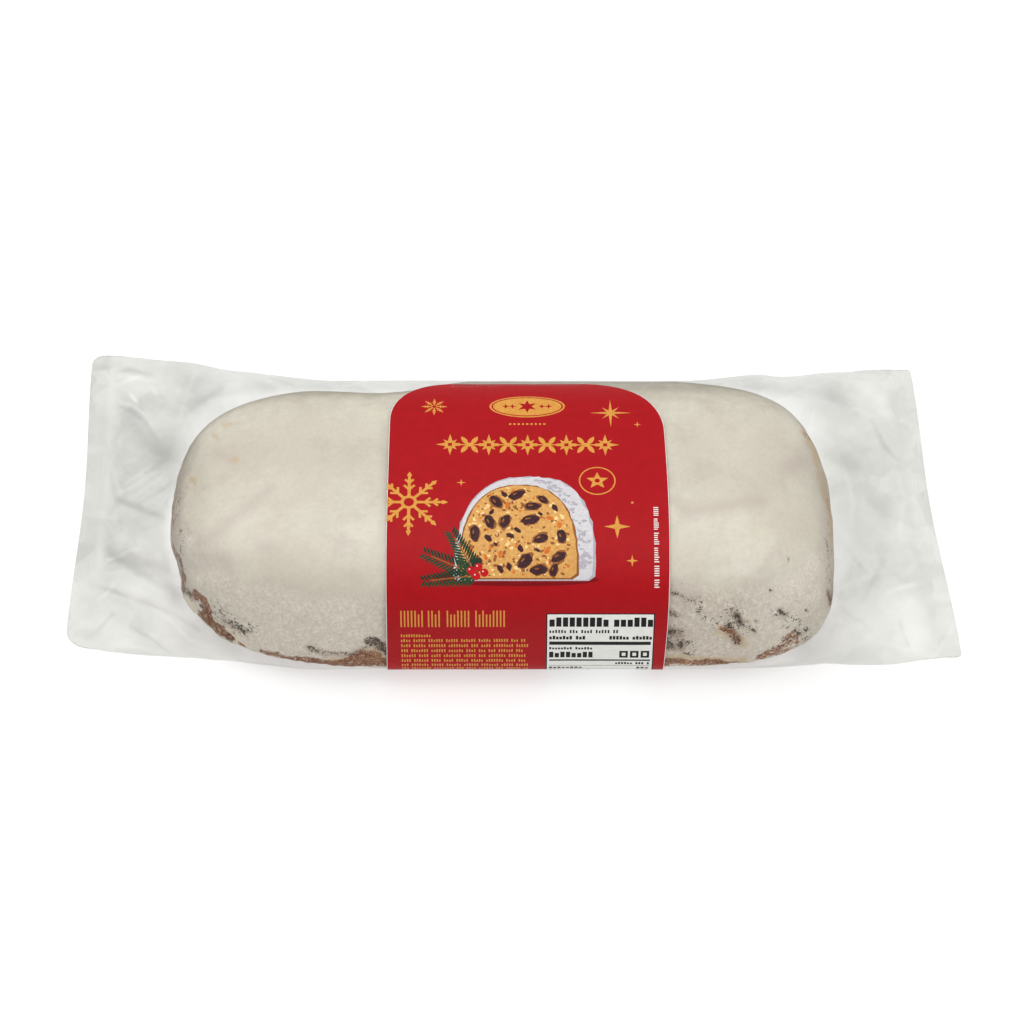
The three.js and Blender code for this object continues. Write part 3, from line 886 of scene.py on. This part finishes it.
def panel(left, top, right, bottom, rng):
    """A white panel with a black edge: rules, rows of bars and three small windows."""
    line = PANEL_LINE
    yield BLACK, box(left, top, right, bottom)
    yield WHITE, box(left + line, top + line, right - line, bottom - line)
    left, right = left + PANEL_MARGIN, right - PANEL_MARGIN
    for s0, s1 in ((125.4, 127.3), (136.0, 136.9), (140.0, 140.25)):
        yield BLACK, box(left, s0, right, s1)
    for *row, grouped in PANEL_BARS:
        yield from inked(BLACK, bars(*row, rng, grouped))
    for k in range(3):
        x = right - 11.6 + 4.0 * k
        yield BLACK, box(x, 130.8, x + 3.2, 134.9)
        yield WHITE, box(x + 0.9, 131.9, x + 2.3, 133.8)
    for k in range(PANEL_ROWS):
        s = 141.2 + 3.1 * k
        yield BLACK, box(left, s + 2.0, right, s + 2.22)
        for x0, x1 in ((left, left + rng.uniform(11, 20)), (right - 5, right + 1)):
            yield from inked(BLACK, bars(x0, x1, s, s + 1.5, 1.6, 0.4, rng))


def label_art():
    """The print in painter's order: ink and outline, in label millimetres."""
    rng = np.random.default_rng(7)
    plain = [*plaque(*PLAQUE), *garland(*GARLAND), *scattered_art(), *badge(*BADGE)]
    return [*plain, *slice_art(rng), *twigs(*TWIG_ROOT), *small_print(rng), *panel(*PANEL, rng)]


# ---- the label's sheet


def label_outline():
    """Clockwise from the top edge's right end, the right edge bowed out over the shoulder."""
    length, corner = LABEL_LENGTH, LABEL_CORNERS[1]
    top = corner * (1 - np.cos(np.linspace(0, np.pi / 2, 16)[:-1]))
    depth = np.r_[top, np.linspace(corner, length - corner, 74), length - top[::-1]]
    near = np.minimum(depth, length - depth)
    bowed = LABEL_BOW * np.sin(np.pi * clamp01(depth / LABEL_BOW_LENGTH))
    left = corner_inset(LABEL_CORNERS[0], near) - LABEL_FLARE * ease(depth, *FLARE_DEPTHS)
    right = LABEL_WIDTH + bowed - corner_inset(corner, near)
    return list(zip(right, depth)) + list(zip(left, depth))[::-1]


def sides(loop):
    return zip(loop, loop[1:] + loop[:1])


def cut_print(shapes):
    """The flat label cut along its print: points, and faces with their topmost ink."""
    verts, loops = [], []
    for _, shape in shapes:
        start = len(verts)
        area = sum(a[0] * b[1] - b[0] * a[1] for a, b in sides(shape))
        for a, b in sides(shape if area > 0 else shape[::-1]):
            steps = max(math.ceil(math.dist(a, b) / PRINT_STEP), 1)
            verts.extend(Vector(a).lerp(Vector(b), k / steps) for k in range(steps))
        loops.append(list(range(start, len(verts))))
    for s in np.arange(1.2, LABEL_LENGTH, ROW_STEP):
        for x in np.arange(2.0, LABEL_WIDTH, COLUMN_STEP):
            verts.append(Vector((x + SLANT[0] * s, s + SLANT[1] * x)))
    points, _, faces, _, _, owners = delaunay_2d_cdt(verts, [], loops, 0, 1e-4)
    inks = [(list(f), shapes[max(o)][0]) for f, o in zip(faces, owners) if 0 in o]
    return np.array([(v.x, v.y) for v in points]), inks


def wrap(flat, offset):
    """Points of the sheet from its flat layout, at an offset out from the film."""
    hug = bag_section(0.0)
    lengths = arc(hug)

    def at(q):
        return np.stack([np.interp(q, lengths, hug[:, k]) for k in (1, 2)], -1)

    s = flat[:, 1] + LABEL_START
    along = at(s + TANGENT_STEP) - at(s - TANGENT_STEP)
    along /= np.linalg.norm(along, axis=1, keepdims=True)
    points = np.column_stack([flat[:, 0] + LABEL_LEFT, at(s)])
    normal = np.column_stack([np.zeros(len(s)), along[:, 1], -along[:, 0]])
    under = 1 - ease(points[:, 2], 0, BASE_ZONE)
    lift = np.where(under > 0, 0.0, ripple(points)) * (1 - under)
    moved = points + normal * (offset - BASE_POCKET * under + lift)[:, None]
    moved[:, 2] = np.where(under > 0.5, np.maximum(moved[:, 2], BASE_CLEAR), moved[:, 2])
    return moved


def make_label():
    """The thin sheet: a printed front, a white back and white edges."""
    outline = label_outline()
    field = [(mix(LABEL_WIDTH / 2, x, LABEL_TRIM), s) for x, s in outline]
    flat, faces = cut_print([(WHITE, outline), (RED, field)] + label_art())
    polygons, inks, edges = [], [], {}
    for face, ink in faces:
        polygons += [face[::-1], [i + len(flat) for i in face]]
        inks += [ink, WHITE]
        edges.update(dict.fromkeys(sides(face)))
    for i, j in edges:
        if (j, i) not in edges:
            polygons.append([i, j, j + len(flat), i + len(flat)])
            inks.append(WHITE)
    points = np.vstack([wrap(flat, LABEL_FRONT), wrap(flat, LABEL_BACK)])
    piece = make_mesh("wrap_label", points, polygons)
    piece.data.polygons.foreach_set("material_index", inks)
    piece.data.update()
    for name, colour, shade, size_mm in INKS:
        piece.data.materials.append(print_material("print_" + name, colour, shade, size_mm))
    return piece


# ---- materials


def linear(colour):
    """Linear values of three channels from 0 to 255. A socket or four linear values stay."""
    if isinstance(colour, bpy.types.NodeSocket) or len(colour) == 4:
        return colour
    channels = [((v / 255 + 0.055) / 1.055) ** 2.4 if v > 10 else v / 3294.6 for v in colour]
    return (*channels, 1.0)


class Nodes:
    """A short way to write a material's node tree."""

    def __init__(self, name):
        self.material = bpy.data.materials.new(name)
        self.material.use_nodes = True
        self.tree = self.material.node_tree
        self.tree.nodes.clear()
        self.out = self.tree.nodes.new("ShaderNodeOutputMaterial")

    def add(self, kind, inputs=None, **settings):
        """A node with its settings, and its inputs linked to a socket or set to a value."""
        node = self.tree.nodes.new("ShaderNode" + kind)
        for key, value in settings.items():
            setattr(node, key, value)
        for key, value in (inputs or {}).items():
            if isinstance(value, bpy.types.NodeSocket):
                self.tree.links.new(value, node.inputs[key])
            else:
                node.inputs[key].default_value = value
        return node

    def place(self, seed=0.0):
        """The position on the object, moved by a seed."""
        spot = self.add("TexCoord").outputs["Object"]
        shift = (seed, seed * 0.7, seed * 0.3)
        return self.add("Mapping", {"Vector": spot, "Location": shift}).outputs[0]

    def noise(self, size_mm, detail, rough, seed=0.0):
        settings = {"Scale": 1 / MM / size_mm, "Detail": detail, "Roughness": rough}
        return self.add("TexNoise", {"Vector": self.place(seed), **settings}).outputs["Fac"]

    def facets(self, size_mm, seed):
        """Painted shade: one grey value for each flat of a crumpled sheet, as each flat would catch
        the light.
        """
        scale = 1 / MM / size_mm
        bend = self.add("TexNoise", {"Vector": self.place(), "Scale": scale, "Detail": 2.0})
        warp = {0: bend.outputs["Color"], 1: (0.5 * size_mm * MM,) * 3, 2: self.place(seed)}
        spot = self.add("VectorMath", warp, operation="MULTIPLY_ADD").outputs[0]
        return self.add("TexVoronoi", {"Vector": spot, "Scale": scale}).outputs["Color"]

    def attr(self, name):
        return self.add("Attribute", attribute_name=name).outputs["Fac"]

    def math(self, operation, a, b, c=0.0):
        return self.add("Math", {0: a, 1: b, 2: c}, operation=operation).outputs[0]

    def times(self, a, b, plus=0.0):
        return self.math("MULTIPLY_ADD", a, b, plus)

    def span(self, value, low, high, to_low=0.0, to_high=1.0):
        """A soft step between two values as the input goes from low to high."""
        ends = {"From Min": low, "From Max": high, "To Min": to_low, "To Max": to_high}
        step = self.add("MapRange", {"Value": value, **ends}, interpolation_type="SMOOTHSTEP")
        return step.outputs[0]

    def blend(self, factor, a, b):
        colours = {0: factor, 6: linear(a), 7: linear(b)}
        return self.add("Mix", colours, data_type="RGBA").outputs[2]

    def patches(self, base, layers):
        """Lay soft patches of colour over a base, one layer after the other."""
        for colour, texture, low, high, most in layers:
            factor = self.span(self.noise(*texture), low, high, 0, most)
            base = self.blend(factor, base, colour)
        return base

    def bump(self, height, distance_mm, strength, normal=None):
        inputs = {"Height": height, "Distance": distance_mm * MM, "Strength": strength}
        if normal is not None:
            inputs["Normal"] = normal
        return self.add("Bump", inputs).outputs["Normal"]

    def surface(self, shader):
        self.tree.links.new(shader.outputs[0], self.out.inputs["Surface"])
        return self.material


# Patches: colour, noise (size in mm, detail, roughness, seed), where in it a patch starts and is
# full, and how strong it is. First the sugar that has melted to a cloudy skin.
SMEARS = [
    ((193, 186, 172), (36, 3, 0.55, 1.0), 0.32, 0.68, 1.0),
    ((184, 175, 163), (14, 3, 0.6, 2.0), 0.5, 0.72, 0.6),
    ((205, 199, 180), (20, 2, 0.5, 3.0), 0.58, 0.78, 0.6),
    ((181, 173, 161), (4.0, 3, 0.6, 11.0), 0.45, 0.75, 0.25),
]
# A fine grey grain over the coat, and dust that clings to the crust.
GRIT = [((156, 146, 132), (1.6, 3, 0.7, 18.0), 0.35, 0.7, 0.14)]
CLINGING = [
    ((184, 142, 106), (0.9, 2, 0.7, 17.0), 0.54, 0.70, 0.7),
    ((170, 122, 84), (9, 3, 0.6, 16.0), 0.45, 0.62, 0.45),
]
# Marks on the coat: field, strength and colour.
TINTS = [
    ("rose", 0.55, (176, 163, 153)), ("warm", 0.6, (186, 160, 124)), ("stain", 0.6, (134, 108, 88)),
]
# Dark grains: field, its share, seed, start, end, strength and colour.
GRAINS = [
    ("stain", 0.72, 14.0, 1.92, 2.12, 0.95, (48, 40, 36)),
    ("speck", 0.6, 6.0, 2.02, 2.2, 0.9, (58, 54, 52)),
]


def coat_colour(m, powder, grain):
    """The sugar coat: a smooth skin under the film, icing sugar on the flanks, and marks, with painted
    shade on the front flank and along the back and end edges, and painted light on the back flank.
    """
    fluff = m.noise(5.5, 4, 0.65, 5.0)
    skin = m.patches((204, 199, 185), SMEARS)
    dust = m.blend(m.span(grain, 0.3, 0.7), (203, 195, 181), (222, 215, 203))
    dust = m.blend(m.span(fluff, 0.45, 0.72, 0.0, 0.55), dust, (193, 185, 172))
    edge = m.math("ADD", powder, m.times(fluff, 0.9, -0.45))
    coat = m.blend(m.span(edge, 0.2, 0.9), skin, dust)
    # Painted shade on the front flank, broken up by a fine noise.
    shade = m.times(m.attr("low"), m.span(m.noise(1.5, 3, 0.7, 15.0), 0.36, 0.64, 0.95, 0.2))
    coat = m.patches(m.blend(shade, coat, (182, 171, 157)), GRIT)
    # Painted light on the flank that faces back.
    coat = m.blend(m.times(m.attr("painted_back_light"), 0.75), coat, (233, 226, 212))
    # Painted shade along the back and end edges, broken up by the fluff noise.
    thin = m.times(fluff, 0.7, m.times(m.attr("shoulder"), 1.0, -0.35))
    coat = m.blend(m.span(thin, 0.0, 0.9, 0, 0.95), coat, (156, 149, 132))
    for field, strength, colour in TINTS:
        coat = m.blend(m.times(m.attr(field), strength), coat, colour)
    clump = m.times(m.noise(3.4, 2, 0.6, 19.0), 1.6, -0.8)
    for field, share, seed, low, high, most, colour in GRAINS:
        zone = m.attr(field)
        dots = m.times(m.noise(0.8, 2, 0.7, seed), 2.6, m.times(zone, share, m.times(clump, zone)))
        coat = m.blend(m.span(dots, low, high, 0, most), coat, colour)
    stray = m.span(m.noise(1.3, 1, 0.5, 12.0), 0.68, 0.78)
    return m.blend(m.times(m.times(stray, powder), 0.4), coat, (150, 139, 125))


def loaf_material():
    """Smooth sugar coat, powdery where it is loose, with bare crust where it has come off."""
    m = Nodes("sugar_coat")
    powder, bare = m.attr("powder"), m.attr("bare")
    grain, crumb = m.noise(1.1, 2, 0.6, 4.0), m.noise(1.0, 3, 0.8, 7.0)
    # crust where the coat has come off, still dusted here and there
    crust = m.blend(m.span(crumb, 0.36, 0.52), (60, 32, 20), (124, 74, 46))
    crust = m.patches(crust, CLINGING)
    ragged = m.times(m.noise(1.2, 4, 0.75, 8.0), 2.0, -1.0)
    bare_edge = m.span(m.math("ADD", bare, ragged), 0.34, 0.66)
    clean = m.times(bare_edge, m.span(m.noise(1.1, 3, 0.75, 9.0), 0.70, 0.50, 0.1, 1.0))
    colour = m.blend(clean, coat_colour(m, powder, grain), crust)
    # torn pits, and the strands of icing over everything
    deep = m.blend(m.span(grain, 0.4, 0.6), (66, 52, 44), (124, 108, 94))
    torn = m.math("ADD", m.attr("pit"), m.times(m.noise(1.3, 2, 0.6, 13.0), 1.0, -0.5))
    colour = m.blend(m.times(m.span(torn, 0.3, 0.7), 0.85), colour, deep)
    colour = m.blend(m.attr("strand"), colour, (216, 206, 188))
    normal = m.bump(m.times(grain, m.times(powder, 0.5), m.times(crumb, bare)), 0.45, 0.7)
    normal = m.bump(m.noise(7, 3, 0.5, 10.0), 0.35, 0.4, normal)
    look = {"Base Color": colour, "Roughness": m.span(powder, 0.1, 0.8, 0.5, 0.92)}
    look.update({"Normal": normal, "Specular IOR Level": 0.2})
    return m.surface(m.add("BsdfPrincipled", look))


def film_material():
    """Clear film: see-through where it lies on the loaf, a light grey veil where it hangs free, with
    painted shade and highlights of its creases and flats.
    """
    m = Nodes("clear_film")
    tone = m.times(m.noise(6, 3, 0.5, 1.0), 0.5, m.attr("tone"))
    # Painted shade of the crumpled flats, at two sizes.
    tone = m.times(m.facets(17, 3.0), 0.55, m.math("SUBTRACT", tone, 0.27))
    tone = m.times(m.facets(8, 4.0), 0.35, m.math("SUBTRACT", tone, 0.17))
    # How light the veil is, painted shade and highlights included; it tints the veil and what shows
    # through it.
    light = m.span(tone, -2.2, 1.4)
    bend = m.bump(m.noise(7, 2, 0.5, 2.0), 0.2, 0.3)
    veil = {"Color": m.blend(light, (178, 178, 173), (234, 234, 229)), "Normal": bend}
    white, through = m.add("BsdfDiffuse", veil), m.add("BsdfTranslucent", veil)
    cloud = m.add("MixShader", {0: 0.35, 1: white.outputs[0], 2: through.outputs[0]})
    smoke = m.blend(light, (0.560, 0.562, 0.552, 1), (0.922, 0.922, 0.906, 1))
    glass = m.blend(m.attr("loose"), (0.97, 0.97, 0.965, 1), smoke)
    clear = m.add("BsdfTransparent", {"Color": glass})
    body = m.add("MixShader", {0: m.attr("haze"), 1: clear.outputs[0], 2: cloud.outputs[0]})
    shine = m.add("BsdfGlossy", {"Color": (0.9, 0.9, 0.9, 1), "Roughness": 0.22, "Normal": bend})
    edge = m.add("LayerWeight", {"Blend": 0.5, "Normal": bend}).outputs["Facing"]
    gloss = m.times(m.math("POWER", edge, 4.0), 0.2, 0.01)
    return m.surface(m.add("MixShader", {0: gloss, 1: body.outputs[0], 2: shine.outputs[0]}))


def print_material(name, colour, shade, size_mm):
    """Satin printed stock: ink with a slight mottle, on a sheet that isn't quite flat."""
    m = Nodes(name)
    mottle = (shade, (size_mm, 3, 0.6, 1.0), 0.35, 0.65, 0.6)
    cloud = (shade, (38, 2, 0.5, 2.0), 0.3, 0.7, 0.25)
    look = {"Base Color": m.patches(colour, [mottle, cloud]), "Roughness": 0.5}
    look.update({"Normal": m.bump(m.noise(14, 2, 0.5, 3.0), 0.25, 0.4), "Specular IOR Level": 0.1})
    return m.surface(m.add("BsdfPrincipled", look))


# Each ink of the label: name, colour, second colour of its mottle, size of the mottle.
INKS = [
    ("red", (160, 13, 21), (150, 11, 18), 4.0),
    ("deep_red", (112, 9, 15), (124, 10, 16), 3.0),
    ("gold", (206, 148, 68), (190, 128, 52), 1.5),
    ("white", (224, 224, 219), (214, 214, 209), 3.0),
    ("black", (24, 23, 23), (34, 32, 32), 3.0),
    ("crumb", (208, 160, 92), (184, 128, 66), 1.3),
    ("cream", (232, 202, 142), (216, 180, 116), 1.0),
    ("brown", (146, 92, 48), (116, 66, 34), 1.0),
    ("raisin", (44, 26, 32), (78, 42, 42), 0.9),
    ("peel", (206, 116, 42), (176, 84, 34), 1.0),
    ("sugar", (202, 199, 200), (180, 178, 184), 1.0),
    ("shade", (156, 152, 160), (178, 174, 180), 0.9),
    ("leaf", (38, 70, 44), (24, 48, 34), 1.2),
    ("pine", (22, 44, 32), (32, 60, 40), 1.2),
    ("berry", (192, 22, 28), (140, 12, 20), 1.0),
]


def floor_material():
    m = Nodes("floor")
    tone = m.span(m.noise(260, 2, 0.5, 1.0), 0.3, 0.7)
    look = {"Base Color": m.blend(tone, (0.42, 0.42, 0.42, 1), (0.44, 0.44, 0.44, 1))}
    look.update({"Roughness": 0.9, "Specular IOR Level": 0.1})
    look.update({"Emission Color": (1, 1, 1, 1), "Emission Strength": 0.56})
    return m.surface(m.add("BsdfPrincipled", look))


# ---- stage, in metres

FLOOR_SIZE, FLOOR_DROP, SKY = 8, 0.0004, 0.62
LIT_SPOT, LAMP_SIZE = Vector((0, 0, 0.03)), 1.5
LAMPS = [("key", Vector((-0.5, 0.3, 1.8)), 18), ("fill", Vector((0.5, -0.6, 1.6)), 11.5)]


def make_lamp(name, place, power):
    data = bpy.data.lights.new(name, "AREA")
    data.shape, data.size, data.energy = "DISK", LAMP_SIZE, power
    lamp = bpy.data.objects.new(name, data)
    lamp.location = place
    lamp.rotation_euler = (LIT_SPOT - place).to_track_quat("-Z", "Y").to_euler()
    bpy.context.collection.objects.link(lamp)


def make_stage():
    """White floor and surroundings with two lamps."""
    bpy.ops.mesh.primitive_plane_add(size=FLOOR_SIZE, location=(0, 0, -FLOOR_DROP))
    floor = bpy.context.object
    floor.name = "floor"
    floor.data.materials.append(floor_material())
    world = bpy.data.worlds.new("studio")
    world.use_nodes = True
    sky = world.node_tree.nodes["Background"].inputs
    sky[0].default_value, sky[1].default_value = (1, 1, 1, 1), SKY
    bpy.context.scene.world = world
    for name, place, power in LAMPS:
        make_lamp(name, place, power)
    bpy.context.scene.view_settings.view_transform = "Standard"


# ---- build


def make_loaf(bag_tree):
    """The loaf inside the film, and its tree for measuring the film's gap to it."""
    grid, fields = shape_loaf(loaf_grid(), bag_tree)
    rows, count = grid.shape[:2]
    points = np.vstack([grid.reshape(-1, 3), grid[0].mean(0), grid[-1].mean(0)])
    faces = grid_faces(rows, count) + fan_caps(rows, count)
    tips = [0.3, 0.3]
    fields = {key: np.r_[values, tips] for key, values in fields.items()}
    piece = make_mesh("stollen_loaf", points, faces, fields)
    piece.data.materials.append(loaf_material())
    return piece, surface_tree(points, faces)


def film_fields(points, far, tone, facing_up, loaf_tree):
    """How hazy and how loose the film is at each point, and how light its veil is."""
    gap = np.array([loaf_tree.find_nearest(p)[3] for p in points])
    x, y = points[:, 0], points[:, 1]
    seal, behind, front = ease(far, 155.5, 158.5), ease(y, 34, 42), ease(-y, 10, 40)
    upper = ease(facing_up, -0.6, -0.2)
    loose_above = ease(gap - 6 * front, 3.0, 10.0)
    loose = np.maximum(mix(ease(gap, 0.8, 4.5), loose_above, upper), behind)
    flap = ease(far, 114, 134) * ease(gap, 4, 12)
    left_seal = seal * (x < 0) * ease(y, -58, -36)
    tight = ease(np.abs(x), LOOSE_FULL, LOOSE_START)
    return {
        "haze": 0.02 + mix(0.22, 0.16, upper) * flap + 0.05 * seal,
        "loose": loose,
        # The veil's tone carries the painted crease shade and highlights; it is also darker on the
        # upper left seal and behind the loaf.
        "tone": tone - 0.38 * left_seal - 0.2 * behind * tight,
    }


make_camera()
make_stage()

stations, smooth_grid = bag_grid()
creased, tone, facing_up = crease_bag(stations, smooth_grid)
rows, count = creased.shape[:2]
film_points = creased.reshape(-1, 3)
film_faces = grid_faces(rows, count) + pinched_caps(rows, count)

loaf, loaf_tree = make_loaf(surface_tree(film_points, film_faces))
far = np.repeat(np.abs(stations), count)
fields = film_fields(film_points, far, tone, facing_up, loaf_tree)
film = make_mesh("clear_bag", film_points, film_faces, fields)
film.visible_shadow = False
film.data.materials.append(film_material())
label = make_label()

for piece in (film, loaf):
    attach(piece, "root")
    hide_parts("bag")
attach(label, "root")
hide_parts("label")
